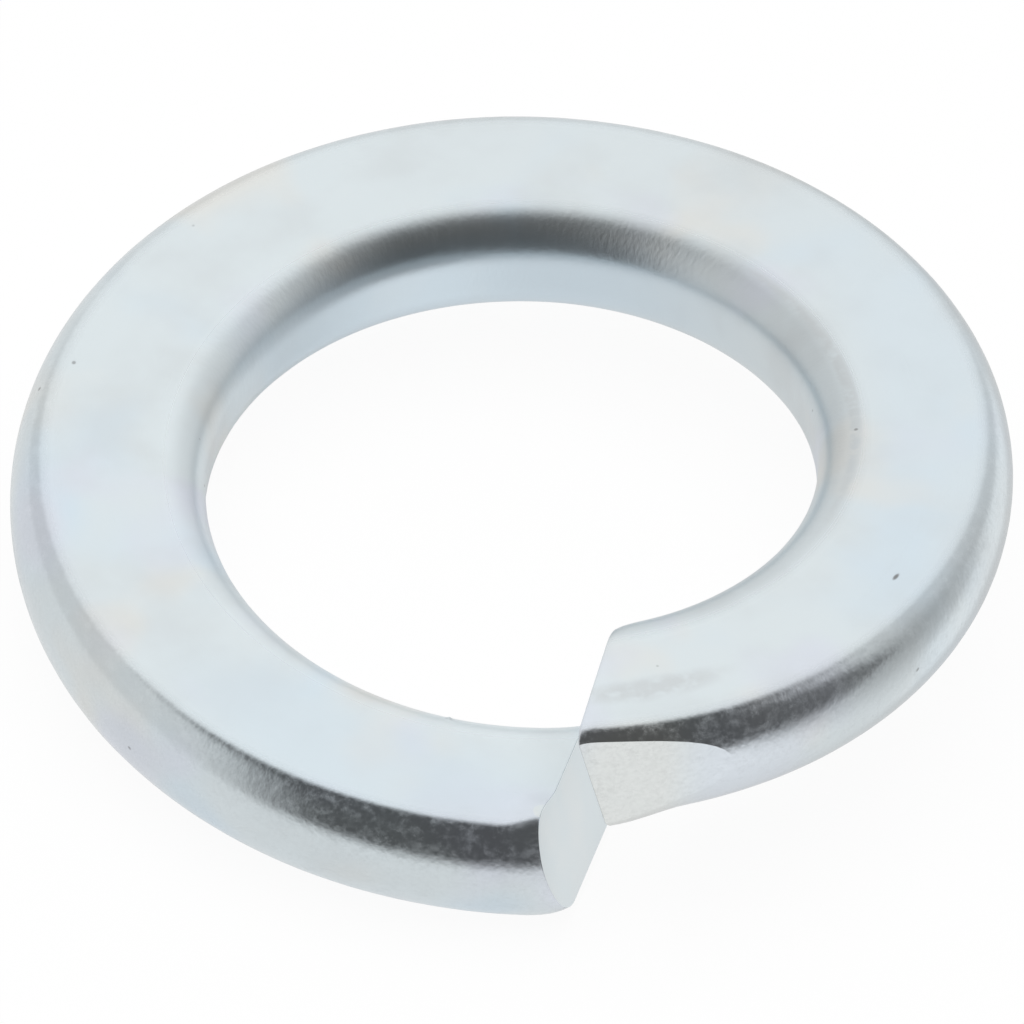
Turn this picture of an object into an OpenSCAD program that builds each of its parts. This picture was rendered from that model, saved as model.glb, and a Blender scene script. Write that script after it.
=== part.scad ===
// Split spring lock washer for a 12 mm bolt.
// A wire of flat-faced, round-sided section is coiled once round the Z axis as a left-hand helix,
// so it rises clockwise seen from above, and a slanted, leaning cut parts its two ends.
// Z is the bore's axis, the cut is centred on -Y, and Z = 0 is the lowest point of the ring.

/* [Ring] */
// Diameter of the bore that the bolt passes through
bore_d = 12.5; // [9:0.1:20]
// Radial width of the wire's section
wire_w = 4; // [3:0.05:6]
// Axial thickness of the wire's section
wire_t = 2.5; // [1.8:0.05:3.5]
// Height of the relaxed washer from face to face, over the middles of its two ends
free_height = 5.25; // [4:0.05:8]

/* [Rounded sides] */
// How far the half-elliptic outer side stands out past the flat faces
outer_crown = 0.6; // [0.3:0.05:1]
// Radius of the two corners of the inner side
inner_round = 0.8; // [0.3:0.05:0.9]
// How much of the inner side is pressed back to the round bore
bore_land = 0.04; // [0.02:0.01:0.12]

/* [Cut] */
// Clear space between the two cut ends, along the middle of the wire
cut_gap = 0.55; // [0.2:0.05:2]
// Turn of the cut from the radius, seen from above, in degrees
cut_slant = 26; // [0:1:35]
// Lean of the cut from the axis, seen from outside, in degrees
cut_lean = 17; // [0:1:30]
// Length along the wire over which the lower edge of the lower end is rolled over
roll_length = 0.8; // [0.3:0.05:1.2]
// Height to which that edge is rolled over at the cut
roll_height = 0.4; // [0.1:0.05:0.7]

/* [Pinched flat] */
// Depth of the flat on the outer side of the upper end, at the wire's upper face
flat_depth = 0.36; // [0.1:0.01:0.6]
// Tilt of that flat from the axis, in degrees
flat_tilt = 6; // [0:1:20]
// Radius to which that flat still bows along the wire
flat_bow = 20; // [14:1:60]

/* [Smoothness] */
// Steps along the wire
ring_steps = 112; // [60:4:140]
// Steps over each rounded side
side_steps = 16; // [8:2:20]
// Steps over the rolled-over edge
roll_steps = 8; // [4:1:12]

/* [Hidden] */

bore_r = bore_d / 2;
outer_r = bore_r + wire_w;
mid_r = bore_r + wire_w / 2;
crest_r = bore_r - bore_land;
gap_angle = 2 * asin(cut_gap / 2 / mid_r);
turn = 360 - gap_angle;
rise = (free_height - wire_t) / turn;
solver_steps = 6;
small_travel = 0.01;
flat_reach = 45;
clear = 1;

// Points of a rounded edge, as [radius, height]: an arc of an ellipse about its centre
function arc(centre, half, from, to, steps) = [
    for (i = [0 : steps])
        let (a = from + (to - from) * i / steps)
        [centre[0] + half[0] * cos(a), centre[1] + half[1] * sin(a)]
];

// The wire's section, clockwise from its upper outer edge: a half ellipse as tall as the wire is
// thick, then the two round corners of the inner side
section = concat(
    arc([outer_r - outer_crown, wire_t / 2], [outer_crown, wire_t / 2], 90, -90, side_steps),
    arc([crest_r + inner_round, inner_round], [inner_round, inner_round], -90, -180, side_steps / 2),
    arc([crest_r + inner_round, wire_t - inner_round], [inner_round, inner_round], 180, 90, side_steps / 2)
);

// A point of the wire: travel is the angle coiled clockwise from the middle of the gap
function azimuth(travel) = -90 - travel;
function on_wire(p, travel) = [
    p[0] * cos(azimuth(travel)),
    p[0] * sin(azimuth(travel)),
    p[1] + rise * (travel - gap_angle / 2)
];

// A cut plane stands across the middle of the section, turned and leant as the tool cuts it
function cut_point(travel) = on_wire([mid_r, wire_t / 2], travel);
function cut_normal(travel) =
    let (a = azimuth(travel) + 90 - cut_slant)
    [cos(a) * cos(cut_lean), sin(a) * cos(cut_lean), sin(cut_lean)];

// Newton's steps find the travel at which a line of the wire meets a cut plane, or a plane that
// lies behind the cut by a given distance
function off_plane(p, travel, cut, behind) =
    (on_wire(p, travel) - cut_point(cut)) * cut_normal(cut) + behind;
function meet(p, cut, behind, travel, left) = left == 0 ? travel :
    let (
        off = off_plane(p, travel, cut, behind),
        slope = (off_plane(p, travel + small_travel, cut, behind) - off) / small_travel
    )
    meet(p, cut, behind, travel - off / slope, left - 1);

low_cut = gap_angle / 2;
high_cut = 360 - gap_angle / 2;
low_ends = [for (p = section) meet(p, low_cut, roll_length, low_cut, solver_steps)];
high_ends = [for (p = section) meet(p, high_cut, 0, high_cut, solver_steps)];

// Where the cutting tool entered, the wire's underside curls up to the cut in a quarter ellipse:
// the section is squeezed towards the upper face, the more the nearer the cut
rolled_rings = [
    for (i = [0 : roll_steps - 1])
        let (
            a = 90 * i / roll_steps,
            up = roll_height * (1 - sin(a)),
            behind = roll_length * (1 - cos(a))
        )
        [
            for (p = section)
                let (q = [p[0], p[1] + up * (1 - p[1] / wire_t)])
                on_wire(q, meet(q, low_cut, behind, low_cut, solver_steps))
        ]
];
wire_rings = [
    for (i = [0 : ring_steps])
        [
            for (k = [0 : len(section) - 1])
                on_wire(section[k], low_ends[k] + (high_ends[k] - low_ends[k]) * i / ring_steps)
        ]
];
rings = concat(rolled_rings, wire_rings);
lowest = min([for (ring = rings, p = ring) p[2]]);

// The wire, swept line by line from one cut plane to the other
module coiled_wire() {
    n = len(section);
    last = len(rings) - 1;
    points = [for (ring = rings, p = ring) p];
    low_face = [[for (k = [n - 1 : -1 : 0]) k]];
    high_face = [[for (k = [0 : n - 1]) last * n + k]];
    skin = [
        for (i = [0 : last - 1], k = [0 : n - 1])
            let (a = i * n + k, b = i * n + (k + 1) % n)
            each [[a, b, b + n], [a, b + n, a + n]]
    ];
    polyhedron(points, concat(low_face, skin, high_face), convexity = 6);
}

// The round hole of the whole ring
module bore() {
    translate([0, 0, lowest - clear])
        cylinder(h = free_height + 2 * clear + wire_t, r = bore_r, $fn = 180);
}

// What the cutting tool pinched off the outer side of the upper end, facing the outer corner of
// the cut: a block beside the last stretch of the wire, hollowed by the large cylinder whose face
// is the bowed flat
module pinched_off() {
    corner = high_cut + asin(wire_w / 2 * tan(cut_slant) / outer_r);
    past_corner = (wire_t * tan(cut_lean) + cut_gap) / 2;
    along = outer_r * sin(flat_reach);
    tall = wire_t + rise * flat_reach;
    translate([0, 0, wire_t + rise * turn])
        rotate([0, 0, azimuth(corner)])
            translate([outer_r - flat_depth, 0, 0])
                rotate([0, -flat_tilt, 0])
                    difference() {
                        translate([-wire_w / 2, -past_corner, -tall])
                            cube([wire_w, past_corner + along, tall + clear]);
                        translate([-flat_bow, 0, -tall - clear])
                            cylinder(h = tall + 3 * clear, r = flat_bow, $fn = 360);
                    }
}

module lock_washer() {
    color([0.8, 0.83, 0.86])
        translate([0, 0, -lowest])
            difference() {
                coiled_wire();
                bore();
                pinched_off();
            }
}

lock_washer();
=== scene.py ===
"""Spring lock washer of the 12 mm size in bright zinc plating.

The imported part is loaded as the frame. The washer's skin is then modelled over it, finer than the
solid and with the marks of its making, and is plated, lit and looked at as in a product studio.
"""

import math

import bmesh
import bpy
from bpy.props import FloatProperty, FloatVectorProperty, IntProperty, PointerProperty
from mathutils import Matrix, Vector


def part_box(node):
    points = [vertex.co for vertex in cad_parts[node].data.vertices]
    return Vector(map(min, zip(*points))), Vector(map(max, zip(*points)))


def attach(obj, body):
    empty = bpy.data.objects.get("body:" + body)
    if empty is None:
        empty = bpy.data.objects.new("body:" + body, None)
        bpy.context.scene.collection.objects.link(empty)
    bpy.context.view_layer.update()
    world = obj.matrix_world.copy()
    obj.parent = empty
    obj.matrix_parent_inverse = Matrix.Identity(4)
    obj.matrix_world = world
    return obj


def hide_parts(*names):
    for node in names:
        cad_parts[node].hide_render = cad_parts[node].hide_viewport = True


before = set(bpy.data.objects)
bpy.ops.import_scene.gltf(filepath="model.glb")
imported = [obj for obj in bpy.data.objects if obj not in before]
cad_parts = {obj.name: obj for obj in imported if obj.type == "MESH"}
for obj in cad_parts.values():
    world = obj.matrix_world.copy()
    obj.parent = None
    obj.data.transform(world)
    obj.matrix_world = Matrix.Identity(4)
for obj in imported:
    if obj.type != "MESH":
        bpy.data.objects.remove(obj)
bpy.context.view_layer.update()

bl_info = {
    "name": "Spring lock washer",
    "version": (1, 0, 0),
    "blender": (4, 5, 0),
    "location": "View3D > Sidebar > Washer",
    "description": "Models and plates a split spring lock washer and its studio",
    "category": "Object",
}

MM = 0.001
MICRON = 0.000001

# The photograph and its studio

# The photograph's frame, and where it shows the washer
IMAGE_PX = 1024
WASHER_AT_PX = (511.3, 488.75)
RADIUS_PX = 500.5
WASHER_RADIUS = 10.25 * MM
WASHER_MIDDLE = 2.7135 * MM

SENSOR_MM = 36
CLIP_NEAR, CLIP_FAR = 0.05, 20

FLOOR_STEPS = 96
# How much of the floor's seen brightness is its own, so that its shadow stays faint
FLOOR_GLOW = 0.94

# The surroundings, from the widest to the last laid over them: what each is, how bright it is, and
# between which angles its four soft edges run, in degrees. The first two run upwards, from the
# horizon below the camera over the zenith to the one behind the washer, the last two sideways.
SURROUNDINGS = (
    ("wall on the left", 0.69, (-30, 10), (185, 165), (-100, -99), (-22, -40)),
    ("wall behind on the right", 0.65, (60, 100), (185, 165), (14, 40), (100, 99)),
    ("wall on the right", 0.43, (-200, -190), (200, 190), (40, 88), (100, 99)),
    ("shade low on the right", 0.17, (-60, -8), (100, 56), (12, 44), (130, 120)),
    ("bright panel behind", 0.86, (104, 118), (168, 152), (-36, -20), (34, 10)),
    ("white paper in front on the right", 0.91, (-105, -45), (-12, -34), (4, 16), (60, 42)),
    ("white paper behind on the right", 0.91, (-190, -165), (-100, -120), (26, 36), (66, 50)),
    ("floor behind on the right", 0.68, (-190, -170), (-95, -120), (2, 12), (36, 24)),
)
# The unlit opening over the camera, laid over them all: its brightness and edges, between which
# angles upwards it narrows, and by how much
OPENING = (0.095, (-26, -4), (114, 86), (-64, -30), (85, 45))
OPENING_NARROWS = (-15, 110)
OPENING_TAPER = 0.7

# The washer's making

# How far from the middle of the gap the shaping of the ends reaches, round the ring
END_REACH = math.pi / 3
# Points closer than this to a cutting plane count as lying on it
TOUCHING = MICRON / 10
# Steps over a broken edge, and round the large cylinder that shapes the flat
EDGE_STEPS = 4
ROLLER_STEPS = 720
# Cuts that divide the section's two faces and its land, so that they can carry unevenness
FACE_CUTS = 16
LAND_CUTS = 5
# Edges duller than this are shaded smooth
SMOOTH_BELOW = math.radians(32)

# Burrs left by the cutting and coiling: which end, how far from the axis, how high over the
# wire's underside and how far behind the middle of the cut each stands, how far it reaches and
# how far up it is drawn, in millimetres
BURRS = (
    ("high", 9.95, 0.25, -0.9, 1.9, -0.3),
    ("low", 9.5, 2.40, 0.8, 0.9, 0.19),
    ("low", 6.62, 2.50, 3.0, 0.14, 0.07),
)

# The plating

# The noises that the plating is made of: how many features there are to the millimetre, either
# in every direction or along the wire, out from the axis and up, then detail, roughness and
# distortion, and between which levels the noise comes up, where it isn't taken as it is
NOISES = {
    "haze": (0.45, 3, 0.55, 0, (0.42, 0.75)),
    "rags": (2.5, 2, 0.6, 0, (0.25, 0.6)),
    "grain": ((9, 6, 6), 2, 0.5, 0, None),
    "ripples": ((2.2, 1.6, 1.6), 3, 0.6, 0.5, None),
    "scratches": ((0.3, 14, 0), 2, 0.5, 0.1, (0.62, 0.74)),
    "scratched areas": (0.5, 2, 0.5, 0, (0.42, 0.62)),
    "speckle": (11, 2, 0.6, 0, (0.3, 0.7)),
    "mottles": (4, 3, 0.65, 0, None),
    "streaks": ((12, 1.5, 1.5), 2, 0.6, 0, None),
    "drawn marks": ((7, 7, 0.8), 3, 0.55, 0, None),
    "patches on the cuts": (0.5, 3, 0.55, 0, (0.35, 0.65)),
}

# Patches of tinted film: the colour, how many patches to the millimetre, between which levels of
# the noise they come up, and how far off the noise is looked up
PATCHES = (
    ("blue", 0.22, 0.52, 0.70, 3),
    ("straw", 0.30, 0.56, 0.72, 31),
    ("lilac", 0.26, 0.57, 0.72, 57),
)

# Grey haze: how strong it is in patches. Painted shade: how much more of the grey is laid on the
# right half of the ring, which lies between these lengths along the wire, in millimetres
HAZE_IN_PATCHES = 0.4
SHADE_PAINTED_ON_RIGHT = 0.28
RIGHT_HALF_STARTS, RIGHT_HALF_ENDS = (20, 34), (52, 40)

# Single marks: the colour, where along the wire and how far from the axis, half the length and
# half the width, in millimetres, and how strong. The grey ones are ragged.
MARKS = (
    # Painted shade of a shallow crease on the upper face near the upper end
    ("grey", 50.9, 8.72, 1.7, 0.36, 0.9),
    ("straw", 51.6, 10.1, 1.2, 0.6, 0.7),
    ("lilac", 49.5, 10.1, 1.3, 0.6, 0.6),
    ("blue", 25.9, 6.2, 9.0, 0.4, 0.8),
    ("grey", 39.0, 6.98, 5.5, 0.16, 0.9),
    ("blue", 5.0, 8.6, 4.5, 1.6, 0.5),
    ("blue", 40.0, 8.7, 7.0, 1.6, 0.4),
    ("stain", 44.96, 8.98, 0.12, 0.05, 0.9),
)
# Where a mark fades in and is full, in shares of its own size
MARK_EDGE = (1.2, 0.4)

# How much of the sides' grain and ripples is left on the faces
GRAIN_ON_FACES = 0.12
RIPPLE_ON_FACES = 0.3

# Pits: how many cells there are to the millimetre, the pit's soft rim within its cell, in how
# large a share of the cells there is one, and how dark it is
PIT_SCALE = 1.7
PIT_RIM = (0.10, 0.04)
PIT_SHARE = 0.07
PIT_STRENGTH = 0.6

# Dull spots: between which levels of the noise they come up, and how strong they are on the inner
# side beside the outer one
BLOOM_LEVELS = (0.44, 0.72)
BLOOM_INSIDE = 0.13
# Between which lengths along the wire the inner side's whiteness fades away, in millimetres
INNER_BLOOM_ENDS = (25, 20)

# How far out from a face's inner and outer edge its finish fades into that of the sides, and how
# far each way from the wire's middle the inner side's finish goes over into the outer one's, in
# millimetres
FADE_AT_INNER_EDGE = (-0.25, 0.15)
FADE_AT_OUTER_EDGE = (0.2, -0.1)
FADE_OVER_MIDDLE = 0.5


# What can be set


def length(name, description, millimetres):
    return FloatProperty(
        name=name, description=description, default=millimetres * MM, unit="LENGTH", precision=6
    )


def angle(name, description, degrees):
    return FloatProperty(
        name=name, description=description, default=math.radians(degrees), subtype="ANGLE"
    )


def colour(name, description, rgb):
    return FloatVectorProperty(
        name=name, description=description, default=rgb, size=3, min=0, max=1, subtype="COLOR"
    )


def share(name, description, value):
    return FloatProperty(
        name=name, description=description, default=value, min=0, max=1, subtype="FACTOR"
    )


def steps(name, description, count):
    return IntProperty(name=name, description=description, default=count, min=2)


class WasherSizes(bpy.types.PropertyGroup):
    """Sizes of the ring: the solid's with fuller sides, and what is too small for the solid."""

    bore: length("Bore", "Diameter of the bore", 12.5)
    width: length("Wire width", "Radial width of the wire's section", 4)
    thickness: length("Wire thickness", "Axial thickness of the wire's section", 2.5)
    free_height: length("Free height", "Height from face to face over the two ends", 5.25)
    outer_crown: length("Outer crown", "How far the outer side stands out past the faces", 0.72)
    inner_round: length("Inner round", "Radius of the corners of the inner side", 0.95)
    cut_gap: length("Cut gap", "Clear space between the cut ends", 0.55)
    cut_slant: angle("Cut slant", "Turn of the cut from the radius, seen from above", 26)
    cut_lean: angle("Cut lean", "Lean of the cut from the axis, seen from outside", 17)
    roll_length: length("Roll length", "How far back the lower end's lower edge is rolled", 0.8)
    roll_height: length("Roll height", "How far up it is rolled over at the cut", 0.4)
    upper_roll_length: length("Upper roll length", "The same at the upper end's upper edge", 0.36)
    upper_roll_height: length("Upper roll height", "The same at the upper end's upper edge", 0.12)
    corner_round: length("Corner round", "Rounding of the upper end's inner corner", 0.55)
    edge_break: length("Edge break", "Radius of the worn edges round the cut faces", 0.02)
    dents: length("Dents", "Height of the unevenness of the coiled wire", 0.012)
    dent_size: length("Dent size", "Breadth of that unevenness", 2.4)
    flat_depth: length("Flat depth", "Depth of the pinched flat at the upper face", 0.36)
    flat_tilt: angle("Flat tilt", "Tilt of the pinched flat from the axis", 6)
    flat_bow: length("Flat bow", "Radius to which the flat still bows", 20)
    ring_steps: steps("Ring steps", "Steps along the wire", 480)
    side_steps: steps("Side steps", "Steps over the outer side", 28)
    roll_steps: steps("Roll steps", "Steps over a rolled edge", 14)


class PlatingLook(bpy.types.PropertyGroup):
    """Colours and grain of the zinc plating."""

    zinc: colour("Zinc", "Plating as it mostly is", (0.765, 0.835, 0.862))
    blue: colour("Blue film", "Where the film turns to sky blue", (0.705, 0.82, 0.905))
    straw: colour("Straw film", "Where the film turns to straw", (0.81, 0.82, 0.795))
    lilac: colour("Lilac film", "Where the film turns to lilac", (0.755, 0.80, 0.875))
    # This grey also paints shade over the right half of the ring and in one mark near the upper end
    grey: colour("Grey haze", "Where the plating is thin and dull", (0.66, 0.70, 0.715))
    stain: colour("Stain", "Pits and rubbed-in dirt", (0.20, 0.20, 0.20))
    sheared: colour("Sheared metal", "Plating on the cut faces", (0.80, 0.85, 0.865))
    face_roughness: share("Face roughness", "Roughness of the flat faces", 0.19)
    side_roughness: share("Side roughness", "Roughness of the outer side", 0.12)
    inner_roughness: share("Inner roughness", "Roughness of the inner side", 0.34)
    cut_roughness: share("Cut roughness", "Roughness of the cut faces", 0.3)
    speckle: share("Speckle", "How far the outer side's roughness varies", 0.14)
    satin: share("Satin", "How much light the flat faces scatter", 0.42)
    bloom: share("Bloom", "How white the dull spots of the plating are", 0.16)
    inner_bloom: share("Inner bloom", "How white the inner side of the first half turn is", 0.45)
    grain: length("Grain", "Height of the finest grain on the rounded sides", 0.0046)
    ripple: length("Ripple", "Height of the broader unevenness", 0.004)
    scratches: length("Scratches", "Depth of the fine scratches", 0.0015)
    drawn_marks: length("Drawn marks", "Height of the marks drawn down the cut faces", 0.0012)


class StudioLook(bpy.types.PropertyGroup):
    """Camera, floor and surroundings of the photograph."""

    camera_azimuth: angle("Camera azimuth", "Turn of the camera round the washer from -Y", -14.1)
    camera_height: angle("Camera elevation", "Camera's angle above the floor", 44.21)
    camera_roll: angle("Camera roll", "Turn of the camera about its view", 2.99)
    camera_distance: length("Camera distance", "From the camera to the washer", 871.3)
    floor_radius: length("Floor radius", "Radius of the round floor", 1500)
    floor_colour: colour("Floor", "Matt floor", (0.93, 0.93, 0.93))
    room: share("Room", "Brightness of the white tent", 0.79)
    lamp: FloatProperty(
        name="Lamp", description="Power of the overhead lamp in watts", default=3.15, min=0
    )
    lamp_height: length("Lamp height", "Height of the lamp over the floor", 600)
    lamp_size: length("Lamp size", "Diameter of the lamp", 800)


# Modelling helpers


def deselect_all():
    if bpy.context.object and bpy.context.object.mode != "OBJECT":
        bpy.ops.object.mode_set(mode="OBJECT")
    bpy.ops.object.select_all(action="DESELECT")


def pick(piece, kind, wanted):
    """Selects, in edit mode, the verts, edges or faces whose points all pass the test."""
    bpy.ops.mesh.select_mode(type={"verts": "VERT", "edges": "EDGE", "faces": "FACE"}[kind])
    bpy.ops.mesh.select_all(action="DESELECT")
    shell = bmesh.from_edit_mesh(piece.data)
    found = 0
    for part in getattr(shell, kind):
        points = [part.co] if kind == "verts" else [v.co for v in part.verts]
        if all(wanted(p) for p in points):
            part.select_set(True)
            found += 1
    shell.select_flush_mode()
    bmesh.update_edit_mesh(piece.data)
    if not found:
        raise RuntimeError(f"no {kind} found to work on")


def apply_modifier(piece, kind, **settings):
    modifier = piece.modifiers.new(kind.title(), kind)
    for name, value in settings.items():
        setattr(modifier, name, value)
    bpy.context.view_layer.objects.active = piece
    bpy.ops.object.modifier_apply(modifier=modifier.name)


class Coil:
    """Where the wire runs: travel is the angle coiled clockwise from the middle of the gap."""

    def __init__(self, sizes):
        self.bore_r = sizes.bore / 2
        self.outer_r = self.bore_r + sizes.width
        self.mid_r = self.bore_r + sizes.width / 2
        self.gap_angle = 2 * math.asin(sizes.cut_gap / 2 / self.mid_r)
        self.turn = math.tau - self.gap_angle
        self.rise = (sizes.free_height - sizes.thickness) / self.turn
        self.thickness = sizes.thickness
        self.slant = sizes.cut_slant
        self.lean = sizes.cut_lean
        self.low_cut = self.gap_angle / 2
        self.high_cut = math.tau - self.gap_angle / 2
        # Half way up between the two ends of the wire, where they pass each other
        self.split = (self.thickness + self.rise * math.tau) / 2

    def azimuth(self, travel):
        return -math.pi / 2 - travel

    def point(self, radius, height, travel):
        a = self.azimuth(travel)
        z = height + self.rise * (travel - self.low_cut)
        return Vector((radius * math.cos(a), radius * math.sin(a), z))

    def cut_plane(self, travel):
        """The middle and the normal of a cut, which points against the coiling."""
        a = self.azimuth(travel) + math.pi / 2 - self.slant
        normal = Vector((
            math.cos(a) * math.cos(self.lean),
            math.sin(a) * math.cos(self.lean),
            math.sin(self.lean),
        ))
        return self.point(self.mid_r, self.thickness / 2, travel), normal

    def near_travel(self, p):
        """Travel of a point near the gap, from -pi to pi."""
        return math.atan2(-p[0], -p[1])

    def height_in_wire(self, p):
        """How high a point near the gap lies over the underside of its own end of the wire."""
        height = p[2] - self.rise * (self.near_travel(p) - self.low_cut)
        return height if self.is_low_end(p) else height - self.rise * math.tau

    def is_low_end(self, p):
        t = self.near_travel(p)
        return abs(t) < END_REACH and p[2] - self.rise * (t - self.low_cut) < self.split

    def is_high_end(self, p):
        return abs(self.near_travel(p)) < END_REACH and not self.is_low_end(p)


class End:
    """One end of the wire: its cut plane, and what lies behind it."""

    def __init__(self, coil, travel, holds, inward):
        self.travel = travel
        self.middle, self.normal = coil.cut_plane(travel)
        self.holds = holds
        self.inward = inward

    def behind(self, p):
        """How far a point lies behind the cut, inside the wire."""
        return (p - self.middle).dot(self.normal) * self.inward

    def plane(self, behind):
        return {
            "plane_co": self.middle + self.normal * self.inward * behind,
            "plane_no": self.normal,
        }


# Modelling the washer


def draw_section(sizes, coil):
    """The wire's section as a closed line in the XZ plane, from a plane with rounded corners."""
    deselect_all()
    bpy.ops.mesh.primitive_plane_add(size=1, rotation=(math.pi / 2, 0, 0))
    piece = bpy.context.object
    piece.name = "lock_washer_skin"
    piece.scale = (sizes.width, sizes.thickness, 1)
    piece.location = (coil.mid_r, 0, sizes.thickness / 2)
    bpy.ops.object.transform_apply(location=True, rotation=True, scale=True)
    bpy.ops.object.mode_set(mode="EDIT")
    pick(piece, "verts", lambda p: p[0] < coil.mid_r)
    bpy.ops.mesh.bevel(
        offset=sizes.inner_round, affect="VERTICES", segments=sizes.side_steps // 2, profile=0.5
    )
    # The outer side is rounded as a half circle on a stretched section, and pressed back
    stretch = sizes.thickness / 2 / sizes.outer_crown
    bpy.ops.mesh.select_all(action="SELECT")
    bpy.ops.transform.resize(value=(stretch, 1, 1), center_override=(coil.outer_r, 0, 0))
    pick(piece, "verts", lambda p: p[0] > coil.outer_r - MICRON)
    bpy.ops.mesh.bevel(
        offset=sizes.thickness / 2, affect="VERTICES", segments=sizes.side_steps // 2, profile=0.5
    )
    bpy.ops.mesh.select_all(action="SELECT")
    bpy.ops.transform.resize(value=(1 / stretch, 1, 1), center_override=(coil.outer_r, 0, 0))
    bpy.ops.mesh.remove_doubles(threshold=MICRON)
    bpy.ops.mesh.delete(type="ONLY_FACE")
    return piece


def part_the_faces(piece, sizes):
    """Divides the long straight lines of the section, so that the coiled wire can be uneven."""
    for wanted, cuts in (
        (lambda p: p[2] < MICRON, FACE_CUTS),
        (lambda p: p[2] > sizes.thickness - MICRON, FACE_CUTS),
        (lambda p: p[0] < sizes.bore / 2 + MICRON, LAND_CUTS),
    ):
        pick(piece, "edges", wanted)
        bpy.ops.mesh.subdivide(number_cuts=cuts)


def coil_up(piece, sizes, coil):
    """Sweeps the section once round and a little past both cuts, as the left-hand coil it is."""
    spare = 2 * (sizes.width * math.tan(sizes.cut_slant) + sizes.thickness) / sizes.bore
    swept = math.tau + 2 * spare
    bpy.ops.object.mode_set(mode="OBJECT")
    apply_modifier(
        piece, "SCREW", angle=-swept, screw_offset=coil.rise * swept, steps=sizes.ring_steps,
        render_steps=sizes.ring_steps, use_merge_vertices=False, use_smooth_shade=True,
    )
    piece.rotation_euler.z = coil.azimuth(-spare)
    piece.location.z = coil.point(0, 0, -spare).z
    deselect_all()
    piece.select_set(True)
    bpy.ops.object.transform_apply(location=True, rotation=True)


def dent(piece, sizes):
    """Makes the coiled wire as uneven as a real one."""
    texture = bpy.data.textures.new("coiling_marks", "CLOUDS")
    texture.noise_scale = sizes.dent_size
    apply_modifier(
        piece, "DISPLACE", texture=texture, texture_coords="LOCAL", mid_level=0.5,
        strength=sizes.dents,
    )


def close_ends(piece):
    """Closes the swept skin at both ends and turns all of it outwards."""
    bpy.ops.object.mode_set(mode="EDIT")
    bpy.ops.mesh.select_all(action="SELECT")
    bpy.ops.mesh.fill_holes(sides=0)
    bpy.ops.mesh.select_all(action="SELECT")
    bpy.ops.mesh.normals_make_consistent(inside=False)
    bpy.ops.object.mode_set(mode="OBJECT")


def pinching_tool(sizes, coil):
    """A block hollowed by the large cylinder whose face is the bowed flat, and where it stands."""
    corner = coil.high_cut + math.asin(
        sizes.width / 2 * math.tan(sizes.cut_slant) / coil.outer_r
    )
    past_corner = (sizes.thickness * math.tan(sizes.cut_lean) + sizes.cut_gap) / 2
    along = coil.outer_r / math.sqrt(2)
    tall = sizes.thickness + coil.rise * math.pi / 4
    deselect_all()
    bpy.ops.mesh.primitive_cylinder_add(
        vertices=ROLLER_STEPS, radius=sizes.flat_bow, depth=4 * tall,
        location=(-sizes.flat_bow, 0, 0),
    )
    roller = bpy.context.object
    deselect_all()
    bpy.ops.mesh.primitive_cube_add(
        size=1, location=(0, (along - past_corner) / 2, (MM - tall) / 2)
    )
    tool = bpy.context.object
    tool.scale = (sizes.width, along + past_corner, tall + MM)
    bpy.ops.object.transform_apply(scale=True)
    apply_modifier(tool, "BOOLEAN", operation="DIFFERENCE", object=roller, solver="EXACT")
    bpy.data.objects.remove(roller)
    high_end = coil.point(0, sizes.thickness, coil.high_cut).z
    place = (
        Matrix.Translation((0, 0, high_end))
        @ Matrix.Rotation(coil.azimuth(corner), 4, "Z")
        @ Matrix.Translation((coil.outer_r - sizes.flat_depth, 0, 0))
        @ Matrix.Rotation(-sizes.flat_tilt, 4, "Y")
    )
    tool.matrix_world = place @ tool.matrix_world
    return tool, place


def pinch_flat(piece, sizes, coil):
    """Pinches the flat off the outer side of the upper end, and keeps its borders crisp."""
    tool, place = pinching_tool(sizes, coil)
    deselect_all()
    apply_modifier(piece, "BOOLEAN", operation="DIFFERENCE", object=tool, solver="EXACT")
    bpy.data.objects.remove(tool)
    to_tool = place.inverted()

    def on_flat(p):
        q = to_tool @ p
        return abs(math.hypot(q[0] + sizes.flat_bow, q[1]) - sizes.flat_bow) < 2 * MICRON

    bpy.ops.object.mode_set(mode="EDIT")
    pick(piece, "faces", on_flat)
    bpy.ops.mesh.region_to_loop()
    bpy.ops.mesh.mark_sharp()
    bpy.ops.object.mode_set(mode="OBJECT")


def add_loops(piece, end, distances):
    """Adds loops of edges behind a cut and parallel to it, so that the end can be shaped."""
    for distance in distances:
        pick(piece, "faces", end.holds)
        bpy.ops.mesh.bisect(threshold=TOUCHING, **end.plane(distance))


def shift_points(piece, direction, strength, weight):
    """Moves the points along an axis, each by the strength times its own weight."""
    if bpy.context.object.mode != "OBJECT":
        bpy.ops.object.mode_set(mode="OBJECT")
    group = piece.vertex_groups.new(name="weights")
    for vertex in piece.data.vertices:
        group.add([vertex.index], min(max(weight(vertex.co), 0), 1), "REPLACE")
    apply_modifier(
        piece, "DISPLACE", direction=direction, mid_level=0, strength=strength,
        vertex_group="weights",
    )
    piece.vertex_groups.remove(piece.vertex_groups["weights"])


def roll_weight(behind, reach):
    """A quarter ellipse that is upright at the cut and runs out at its reach behind it."""
    if behind >= reach:
        return 0
    return 1 - math.sqrt(1 - (1 - max(behind, 0) / reach) ** 2)


def roll_over(piece, sizes, coil, end, reach, height):
    """Curls an edge over, where the cutting tool entered: up at the lower face if the height is
    positive, and down at the upper face if it is negative."""
    def weight(p):
        if not end.holds(p):
            return 0
        level = coil.height_in_wire(p) / sizes.thickness
        return roll_weight(end.behind(p), reach) * (1 - level if height > 0 else level)

    shift_points(piece, "Z", height, weight)


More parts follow.
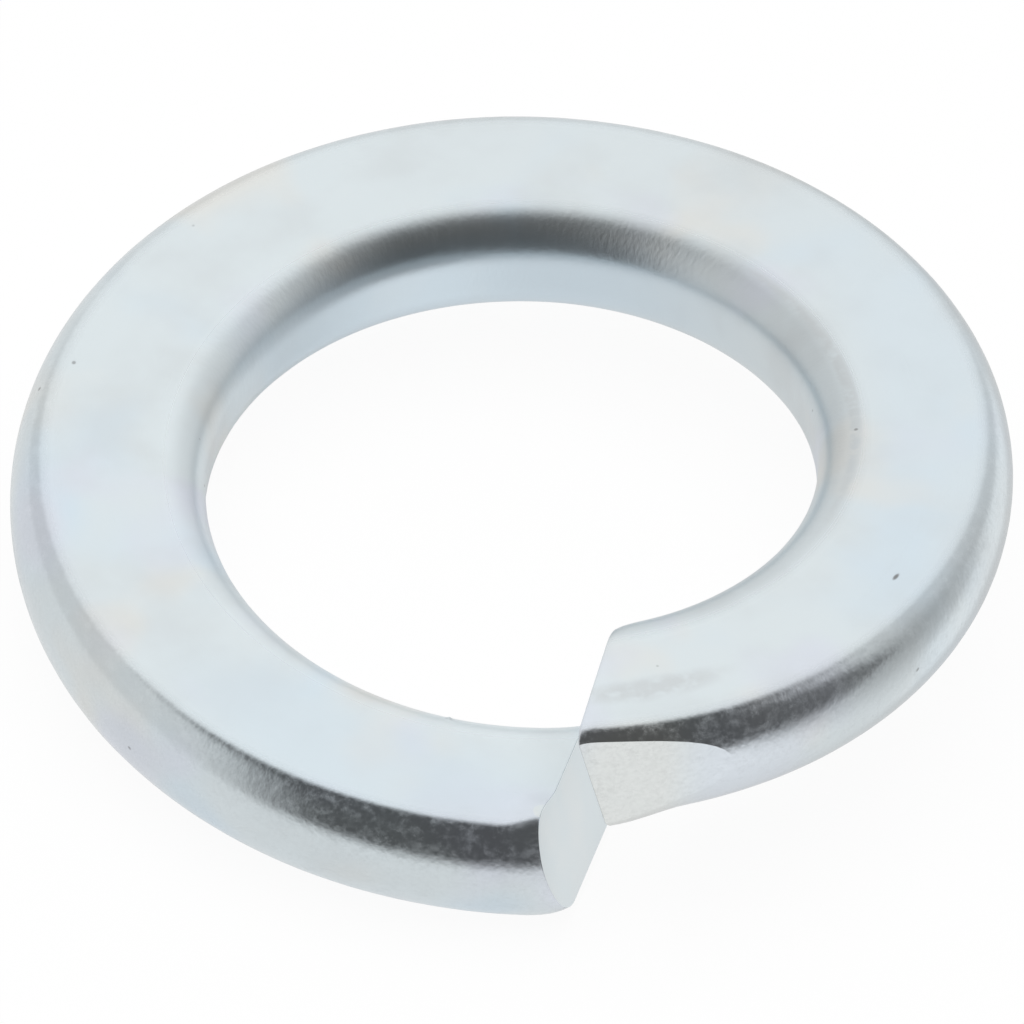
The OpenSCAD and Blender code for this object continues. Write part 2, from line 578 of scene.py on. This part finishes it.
def round_corner(piece, sizes, coil, end):
    """Presses the inner corner of the upper end back along the wire."""
    radius = sizes.corner_round

    def weight(p):
        into_wall = math.hypot(p[0], p[1]) - coil.bore_r
        if not end.holds(p) or into_wall > radius:
            return 0
        return roll_weight(into_wall, radius) * min(max(1 - end.behind(p) / (2 * radius), 0), 1)

    shift_points(piece, "X", radius, weight)


def cut_end(piece, end, edge_break):
    """Cuts an end through with its slanted, leaning plane, closes it and breaks its edges."""
    pick(piece, "faces", end.holds)
    outer_side = end.inward < 0
    bpy.ops.mesh.bisect(
        use_fill=True, threshold=TOUCHING, clear_inner=not outer_side, clear_outer=outer_side,
        **end.plane(edge_break),
    )
    pick(
        piece, "faces",
        lambda p: end.holds(p) and abs(end.behind(p) - edge_break) < MICRON / 2,
    )
    for i in range(EDGE_STEPS):
        a, b = (math.pi / 2 * k / EDGE_STEPS for k in (i, i + 1))
        bpy.ops.mesh.inset(
            thickness=edge_break * (math.cos(a) - math.cos(b)),
            depth=edge_break * (math.sin(b) - math.sin(a)),
        )
    piece.active_material_index = 1
    bpy.ops.object.material_slot_assign()


def raise_burr(piece, coil, end, radius, height, behind, reach, rise):
    """Draws a burr up out of the wire, or down, in the plane of the cut it stands at."""
    at = coil.point(radius * MM, height * MM, end.travel - end.inward * behind * MM / coil.mid_r)
    bpy.ops.mesh.select_mode(type="VERT")
    bpy.ops.mesh.select_all(action="DESELECT")
    shell = bmesh.from_edit_mesh(piece.data)
    near = min((v for v in shell.verts if end.holds(v.co)), key=lambda v: (v.co - at).length)
    near.select_set(True)
    bmesh.update_edit_mesh(piece.data)
    shift = Vector((0, 0, rise * MM))
    shift -= end.normal * shift.dot(end.normal)
    bpy.ops.transform.translate(
        value=shift, use_proportional_edit=True, proportional_edit_falloff="SMOOTH",
        proportional_size=reach * MM, use_proportional_connected=True,
    )


def stand_up(piece):
    """Lifts the finished piece, so that its lowest point lies level with the solid's."""
    lowest = min(vertex.co.z for vertex in piece.data.vertices)
    deselect_all()
    piece.select_set(True)
    bpy.context.view_layer.objects.active = piece
    piece.location.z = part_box("lock_washer")[0][2] - lowest
    bpy.ops.object.transform_apply(location=True)


class WASHER_OT_make_ring(bpy.types.Operator):
    """Models the washer's skin over the solid and plates it"""

    bl_idname = "washer.make_ring"
    bl_label = "Make ring"

    def execute(self, context):
        sizes = context.scene.washer_sizes
        coil = Coil(sizes)
        low_end = End(coil, coil.low_cut, coil.is_low_end, -1)
        high_end = End(coil, coil.high_cut, coil.is_high_end, 1)
        piece = draw_section(sizes, coil)
        part_the_faces(piece, sizes)
        coil_up(piece, sizes, coil)
        dent(piece, sizes)
        close_ends(piece)
        pinch_flat(piece, sizes, coil)
        bpy.ops.object.mode_set(mode="EDIT")
        quarter = [math.pi / 2 * i / sizes.roll_steps for i in range(1, sizes.roll_steps + 1)]
        for end, reach in ((low_end, sizes.roll_length), (high_end, sizes.upper_roll_length)):
            add_loops(piece, end, [reach * (1 - math.cos(a)) for a in quarter])
        roll_over(piece, sizes, coil, low_end, sizes.roll_length, sizes.roll_height)
        roll_over(piece, sizes, coil, high_end, sizes.upper_roll_length, -sizes.upper_roll_height)
        round_corner(piece, sizes, coil, high_end)
        bpy.ops.object.mode_set(mode="EDIT")
        look = context.scene.washer_plating
        piece.data.materials.clear()
        piece.data.materials.append(plated_skin(look, sizes))
        piece.data.materials.append(sheared_face(look))
        for end in (low_end, high_end):
            cut_end(piece, end, sizes.edge_break)
        for name, *burr in BURRS:
            raise_burr(piece, coil, {"low": low_end, "high": high_end}[name], *burr)
        bpy.ops.object.mode_set(mode="OBJECT")
        stand_up(piece)
        bpy.ops.object.shade_smooth_by_angle(angle=SMOOTH_BELOW, keep_sharp_edges=True)
        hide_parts("lock_washer")
        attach(piece, "root")
        return {"FINISHED"}


# Node helpers


def is_socket(value):
    return isinstance(value, bpy.types.NodeSocket)


def add(tree, kind, **values):
    """Adds a node. A value sets an attribute of that name, or else an input or its link."""
    node = tree.nodes.new(kind)
    for name, value in values.items():
        if name not in node.inputs and hasattr(node, name):
            setattr(node, name, value)
        elif is_socket(value):
            tree.links.new(value, node.inputs[name])
        else:
            node.inputs[name].default_value = value
    return node


def operate(tree, kind, operation, values):
    """Adds a node of one operation, with its inputs in order."""
    node = add(tree, kind, operation=operation)
    for socket, value in zip(node.inputs, values):
        if is_socket(value):
            tree.links.new(value, socket)
        else:
            socket.default_value = value
    return node


def math_node(tree, operation, *values):
    return operate(tree, "ShaderNodeMath", operation, values).outputs[0]


def vector_node(tree, operation, *values):
    return operate(tree, "ShaderNodeVectorMath", operation, values).outputs[0]


def product(tree, first, *others):
    for value in others:
        first = math_node(tree, "MULTIPLY", first, value)
    return first


def new_group(name, inputs, outputs):
    """A node group with its sockets, and its own input and output nodes."""
    group = bpy.data.node_groups.new(name, "ShaderNodeTree")
    for direction, sockets in (("INPUT", inputs), ("OUTPUT", outputs)):
        for label, kind in sockets.items():
            group.interface.new_socket(
                name=label, in_out=direction, socket_type=f"NodeSocket{kind}"
            )
    return group, group.nodes.new("NodeGroupInput"), group.nodes.new("NodeGroupOutput")


def use_group(tree, group, **inputs):
    return add(tree, "ShaderNodeGroup", node_tree=group, **inputs).outputs


def ramp(tree, value, low, high):
    """How far a value has come from low to high, softly, from 0 to 1."""
    return add(
        tree, "ShaderNodeMapRange", interpolation_type="SMOOTHSTEP", Value=value,
        **{"From Min": low, "From Max": high},
    ).outputs[0]


def noise(tree, vector, scale, detail=2, roughness=0.5, distortion=0):
    return add(
        tree, "ShaderNodeTexNoise", Vector=vector, Scale=scale, Detail=detail,
        Roughness=roughness, Distortion=distortion,
    ).outputs["Fac"]


def listed_noise(tree, place, name):
    """A noise of the list, at a place in millimetres."""
    scale, detail, roughness, distortion, levels = NOISES[name]
    if isinstance(scale, tuple):
        place, scale = vector_node(tree, "MULTIPLY", place, scale), 1
    value = noise(tree, place, scale, detail, roughness, distortion)
    return ramp(tree, value, *levels) if levels else value


def part_of(tree, vector, axis):
    return add(tree, "ShaderNodeSeparateXYZ", Vector=vector).outputs[axis]


def blend(tree, factor, a, b):
    """The value a where the factor is 0, and b where it is 1."""
    return add(tree, "ShaderNodeMix", data_type="FLOAT", Factor=factor, A=a, B=b).outputs[0]


def tinted(tree, factor, base, over):
    """The base colour where the factor is 0, and the colour over it where it is 1."""
    base, over = (c if is_socket(c) else (*c, 1) for c in (base, over))
    return add(tree, "ShaderNodeMixRGB", Fac=factor, Color1=base, Color2=over).outputs[0]


# Materials


def places_group(sizes):
    """Where a point lies on the ring, in millimetres: along the wire, out from the axis and up.

    The length along the wire starts at the lower end and runs on without a seam to the upper one.
    Face is 1 on the flat faces and 0 on the sides."""
    group, _, out = new_group(
        "places_on_wire", {}, {"Place": "Vector", "Radius": "Float", "Face": "Float"}
    )
    here = add(group, "ShaderNodeTexCoord").outputs["Object"]
    at = add(
        group, "ShaderNodeSeparateXYZ", Vector=vector_node(group, "MULTIPLY", here, (1 / MM,) * 3)
    )
    x, y, z = (at.outputs[axis] for axis in "XYZ")
    squares = math_node(group, "ADD", product(group, x, x), product(group, y, y))
    radius = math_node(group, "SQRT", squares)
    coil = Coil(sizes)
    travel = math_node(group, "ARCTAN2", product(group, x, -1), product(group, y, -1))
    # The second half of the turn lies higher than the first by half the coil's lead
    height = math_node(group, "MULTIPLY_ADD", travel, -coil.rise / MM, z)
    second_half = math_node(group, "GREATER_THAN", height, coil.split / MM)
    travel = math_node(group, "MULTIPLY_ADD", second_half, math.tau, travel)
    along = product(group, travel, coil.mid_r / MM)
    place = add(group, "ShaderNodeCombineXYZ", X=along, Y=radius, Z=z)
    inner_edge = (coil.bore_r + sizes.inner_round) / MM
    outer_edge = (coil.outer_r - sizes.outer_crown) / MM
    face = product(
        group,
        ramp(group, radius, *(inner_edge + fade for fade in FADE_AT_INNER_EDGE)),
        ramp(group, radius, *(outer_edge + fade for fade in FADE_AT_OUTER_EDGE)),
    )
    for label, value in (("Place", place.outputs[0]), ("Radius", radius), ("Face", face)):
        group.links.new(value, out.inputs[label])
    return group


def film_group(look):
    """The plating's colour: patches of tinted film and of grey haze, painted shade over the right
    half of the ring, and the single marks.
    """
    group, given, out = new_group("tinted_film", {"Place": "Vector"}, {"Color": "Color"})
    place = given.outputs["Place"]
    film = look.zinc
    for name, scale, low, high, shift in PATCHES:
        elsewhere = vector_node(group, "ADD", place, (shift,) * 3)
        film = tinted(
            group, ramp(group, noise(group, elsewhere, scale), low, high), film, getattr(look, name)
        )
    # Painted shade: the grey is laid more strongly over the right half of the ring
    along = part_of(group, place, "X")
    painted_shade_on_right = product(
        group, ramp(group, along, *RIGHT_HALF_STARTS), ramp(group, along, *RIGHT_HALF_ENDS),
        SHADE_PAINTED_ON_RIGHT,
    )
    # Grey haze in patches, with the painted shade of the right half added to it
    haze = listed_noise(group, place, "haze")
    haze = math_node(group, "MULTIPLY_ADD", haze, HAZE_IN_PATCHES, painted_shade_on_right)
    film = tinted(group, haze, film, look.grey)
    rags = listed_noise(group, place, "rags")
    for name, at, radius, half_length, half_width, strength in MARKS:
        apart = vector_node(group, "SUBTRACT", place, (at, radius, 0))
        apart = vector_node(group, "MULTIPLY", apart, (1 / half_length, 1 / half_width, 0))
        span = operate(group, "ShaderNodeVectorMath", "LENGTH", [apart]).outputs["Value"]
        mark = product(group, ramp(group, span, *MARK_EDGE), strength)
        if name == "grey":
            mark = product(group, mark, rags)
        film = tinted(group, mark, film, getattr(look, name))
    group.links.new(film, out.inputs["Color"])
    return group


def grain_group(look):
    """The height of the skin in millimetres, its pits, its gloss's speckle and its dull spots."""
    group, given, out = new_group(
        "worked_grain", {"Place": "Vector", "Face": "Float", "Outward": "Float"},
        {"Height": "Float", "Pits": "Float", "Speckle": "Float", "Bloom": "Float"},
    )
    place, face, outward = (given.outputs[name] for name in ("Place", "Face", "Outward"))
    side = math_node(group, "SUBTRACT", 1, face)

    def layer(bumps, tall, on_faces):
        """Bumps about a middle level, lower on the faces than on the sides."""
        here = math_node(
            group, "MULTIPLY_ADD", side, tall / MM * (1 - on_faces), tall / MM * on_faces
        )
        return product(group, math_node(group, "SUBTRACT", bumps, 0.5), here)

    grains = layer(listed_noise(group, place, "grain"), look.grain, GRAIN_ON_FACES)
    ripples = layer(listed_noise(group, place, "ripples"), look.ripple, RIPPLE_ON_FACES)
    height = math_node(group, "ADD", grains, ripples)
    # Scratches: very long narrow furrows along the faces, here and there
    furrows = listed_noise(group, place, "scratches")
    areas = listed_noise(group, place, "scratched areas")
    scratch = product(group, furrows, face, areas, look.scratches / MM)
    height = math_node(group, "SUBTRACT", height, scratch)
    # Pits: the middles of a few cells
    cells = add(
        group, "ShaderNodeTexVoronoi", feature="F1", Vector=place, Scale=PIT_SCALE, Randomness=1.0,
    )
    lot = add(group, "ShaderNodeSeparateColor", Color=cells.outputs["Color"]).outputs[0]
    pits = product(
        group, ramp(group, cells.outputs["Distance"], *PIT_RIM),
        math_node(group, "GREATER_THAN", lot, 1 - PIT_SHARE),
    )
    speckle = listed_noise(group, place, "speckle")
    # The dull spots are mottled outside, and streaks across the wire inside
    mottles, streaks = (listed_noise(group, place, name) for name in ("mottles", "streaks"))
    spots = ramp(group, blend(group, outward, streaks, mottles), *BLOOM_LEVELS)
    strength = math_node(group, "MULTIPLY_ADD", outward, 1 - BLOOM_INSIDE, BLOOM_INSIDE)
    bloom = product(group, spots, side, strength)
    for socket, value in zip(out.inputs, (height, pits, speckle, bloom)):
        group.links.new(value, socket)
    return group


def plated_skin(look, sizes):
    """The plating all over: satin on the faces, glossy and grained outside, duller inside."""
    skin = bpy.data.materials.new("plated_skin")
    skin.use_nodes = True
    tree = skin.node_tree
    shader = tree.nodes["Principled BSDF"]
    places = use_group(tree, places_group(sizes))
    place, face = places["Place"], places["Face"]
    film = use_group(tree, film_group(look), Place=place)["Color"]
    middle = (sizes.bore + sizes.width) / 2 / MM
    outward = ramp(tree, places["Radius"], middle - FADE_OVER_MIDDLE, middle + FADE_OVER_MIDDLE)
    grain = use_group(tree, grain_group(look), Place=place, Face=face, Outward=outward)
    stained = tinted(tree, product(tree, grain["Pits"], PIT_STRENGTH), film, look.stain)
    side = blend(tree, outward, look.inner_roughness, look.side_roughness)
    speckle = product(tree, grain["Speckle"], outward)
    side = math_node(tree, "MULTIPLY_ADD", speckle, look.speckle, side)
    roughness = blend(tree, face, side, look.face_roughness)
    bump = add(tree, "ShaderNodeBump", Strength=1.0, Distance=MM, Height=grain["Height"])
    # What the metal scatters instead of mirroring: the dull spots, the first half turn's inner
    # side and the satin faces
    inward = math_node(tree, "SUBTRACT", 1, math_node(tree, "MAXIMUM", outward, face))
    first_half = ramp(tree, part_of(tree, place, "X"), *INNER_BLOOM_ENDS)
    dull = product(tree, inward, first_half, look.inner_bloom)
    metallic = math_node(tree, "MULTIPLY_ADD", grain["Bloom"], -look.bloom, 1)
    metallic = math_node(tree, "SUBTRACT", metallic, dull)
    metallic = math_node(tree, "MULTIPLY_ADD", face, -look.satin, metallic)
    tree.links.new(metallic, shader.inputs["Metallic"])
    tree.links.new(stained, shader.inputs["Base Color"])
    tree.links.new(roughness, shader.inputs["Roughness"])
    tree.links.new(bump.outputs[0], shader.inputs["Normal"])
    return skin


def sheared_face(look):
    """The cut faces: duller, and lightly marked in the direction of the cut."""
    face = bpy.data.materials.new("sheared_face")
    face.use_nodes = True
    tree = face.node_tree
    shader = tree.nodes["Principled BSDF"]
    here = add(tree, "ShaderNodeTexCoord").outputs["Object"]
    here = vector_node(tree, "MULTIPLY", here, (1 / MM,) * 3)
    tone = tinted(
        tree, listed_noise(tree, here, "patches on the cuts"), look.sheared, look.zinc
    )
    height = product(tree, listed_noise(tree, here, "drawn marks"), look.drawn_marks / MM)
    bump = add(tree, "ShaderNodeBump", Strength=1.0, Distance=MM, Height=height)
    shader.inputs["Metallic"].default_value = 1
    shader.inputs["Roughness"].default_value = look.cut_roughness
    tree.links.new(tone, shader.inputs["Base Color"])
    tree.links.new(bump.outputs[0], shader.inputs["Normal"])
    return face


# The stage


class WASHER_OT_make_stage(bpy.types.Operator):
    """Lays the floor, sets the surroundings and places the camera"""

    bl_idname = "washer.make_stage"
    bl_label = "Make stage"

    def execute(self, context):
        studio = context.scene.washer_studio
        lay_floor(studio)
        hang_lamp(studio)
        light_room(studio)
        place_camera(studio)
        context.scene.view_settings.view_transform = "Standard"
        return {"FINISHED"}


def lay_floor(studio):
    """A matt floor that mostly shines by itself where it is seen, so that it stays white."""
    deselect_all()
    bpy.ops.mesh.primitive_circle_add(
        vertices=FLOOR_STEPS, radius=studio.floor_radius, fill_type="NGON"
    )
    floor = bpy.context.object
    floor.name = "studio_floor"
    matt = bpy.data.materials.new("matt_floor")
    matt.use_nodes = True
    tree = matt.node_tree
    tree.nodes.clear()
    out = add(tree, "ShaderNodeOutputMaterial")
    paint = add(tree, "ShaderNodeBsdfDiffuse", Color=(*studio.floor_colour, 1))
    glow = add(tree, "ShaderNodeEmission", Color=(1, 1, 1, 1), Strength=1)
    seen = add(tree, "ShaderNodeLightPath").outputs["Is Camera Ray"]
    mix = add(tree, "ShaderNodeMixShader", Fac=product(tree, seen, FLOOR_GLOW))
    tree.links.new(paint.outputs[0], mix.inputs[1])
    tree.links.new(glow.outputs[0], mix.inputs[2])
    tree.links.new(mix.outputs[0], out.inputs["Surface"])
    floor.data.materials.append(matt)
    # What the metal mirrors is the tent alone, which is below the horizon as well
    floor.visible_glossy = False


def hang_lamp(studio):
    """A broad soft lamp overhead, which lights the floor and doesn't show in the metal."""
    deselect_all()
    bpy.ops.object.light_add(type="AREA", location=(0, 0, studio.lamp_height))
    lamp = bpy.context.object
    lamp.data.shape = "DISK"
    lamp.data.size = studio.lamp_size
    lamp.data.energy = studio.lamp
    lamp.visible_glossy = False


def window(tree, over, aside, foot, top, left, right):
    """A part of the surroundings with soft edges: 1 inside it and 0 outside."""
    return product(
        tree, ramp(tree, over, *foot), ramp(tree, over, *top), ramp(tree, aside, *left),
        ramp(tree, aside, *right),
    )


def light_room(studio):
    """A white tent all round, darker to the sides, with an unlit opening over the camera."""
    world = bpy.data.worlds.new("studio_room")
    bpy.context.scene.world = world
    world.use_nodes = True
    tree = world.node_tree
    tree.nodes.clear()
    out = add(tree, "ShaderNodeOutputWorld")
    where = add(tree, "ShaderNodeTexCoord")
    turned = add(
        tree, "ShaderNodeVectorRotate", rotation_type="Z_AXIS",
        Vector=where.outputs["Generated"], Angle=-studio.camera_azimuth,
    )
    axes = add(tree, "ShaderNodeSeparateXYZ", Vector=turned.outputs[0]).outputs
    in_degrees = math.degrees(1)
    climb = math_node(tree, "ARCTAN2", axes["Z"], product(tree, axes["Y"], -1))
    over = product(tree, climb, in_degrees)
    aside = product(tree, math_node(tree, "ARCSINE", axes["X"]), in_degrees)
    brightness = studio.room
    for _, level, *edges in SURROUNDINGS:
        brightness = blend(tree, window(tree, over, aside, *edges), brightness, level)
    height = math_node(tree, "POWER", ramp(tree, over, *OPENING_NARROWS), 2)
    narrowed = product(tree, aside, math_node(tree, "MULTIPLY_ADD", height, OPENING_TAPER, 1))
    level, *edges = OPENING
    brightness = blend(tree, window(tree, over, narrowed, *edges), brightness, level)
    light = add(tree, "ShaderNodeBackground", Color=(1, 1, 1, 1), Strength=brightness)
    tree.links.new(light.outputs[0], out.inputs["Surface"])


def place_camera(studio):
    """Aims at the washer's middle, which the photograph shows a little off its own."""
    azimuth, elevation, roll = studio.camera_azimuth, studio.camera_height, studio.camera_roll
    turn = (
        Matrix.Rotation(azimuth, 3, "Z")
        @ Matrix.Rotation(math.pi / 2 - elevation, 3, "X")
        @ Matrix.Rotation(roll, 3, "Z")
    )
    aside, up, back = turn.col[0], turn.col[1], turn.col[2]
    pixel = WASHER_RADIUS / RADIUS_PX
    place = (
        Vector((0, 0, WASHER_MIDDLE))
        + back * studio.camera_distance
        + aside * (IMAGE_PX / 2 - WASHER_AT_PX[0]) * pixel
        - up * (IMAGE_PX / 2 - WASHER_AT_PX[1]) * pixel
    )
    deselect_all()
    bpy.ops.object.camera_add(location=place, rotation=turn.to_euler())
    camera = bpy.context.object
    lens = camera.data
    lens.sensor_width = SENSOR_MM
    lens.lens = SENSOR_MM * RADIUS_PX / IMAGE_PX * studio.camera_distance / WASHER_RADIUS
    lens.clip_start, lens.clip_end = CLIP_NEAR, CLIP_FAR
    bpy.context.scene.camera = camera


# The sidebar, and the making of it all


class WASHER_PT_sidebar(bpy.types.Panel):
    """Makes the washer and its studio"""

    bl_label = "Spring lock washer"
    bl_idname = "WASHER_PT_sidebar"
    bl_space_type = "VIEW_3D"
    bl_region_type = "UI"
    bl_category = "Washer"

    def draw(self, context):
        for group in GROUPS:
            values = getattr(context.scene, group)
            box = self.layout.box()
            for name in values.bl_rna.properties.keys():
                if name not in ("rna_type", "name"):
                    box.prop(values, name)
        for operator in (WASHER_OT_make_stage, WASHER_OT_make_ring):
            self.layout.operator(operator.bl_idname)


CLASSES = (
    WasherSizes, PlatingLook, StudioLook, WASHER_OT_make_ring, WASHER_OT_make_stage,
    WASHER_PT_sidebar,
)
GROUPS = {
    "washer_sizes": WasherSizes, "washer_plating": PlatingLook, "washer_studio": StudioLook
}


def register():
    for item in CLASSES:
        bpy.utils.register_class(item)
    for name, group in GROUPS.items():
        setattr(bpy.types.Scene, name, PointerProperty(type=group))


def unregister():
    for name in GROUPS:
        delattr(bpy.types.Scene, name)
    for item in reversed(CLASSES):
        bpy.utils.unregister_class(item)


def main():
    register()
    bpy.ops.washer.make_stage()
    bpy.ops.washer.make_ring()


if __name__ == "__main__":
    main()
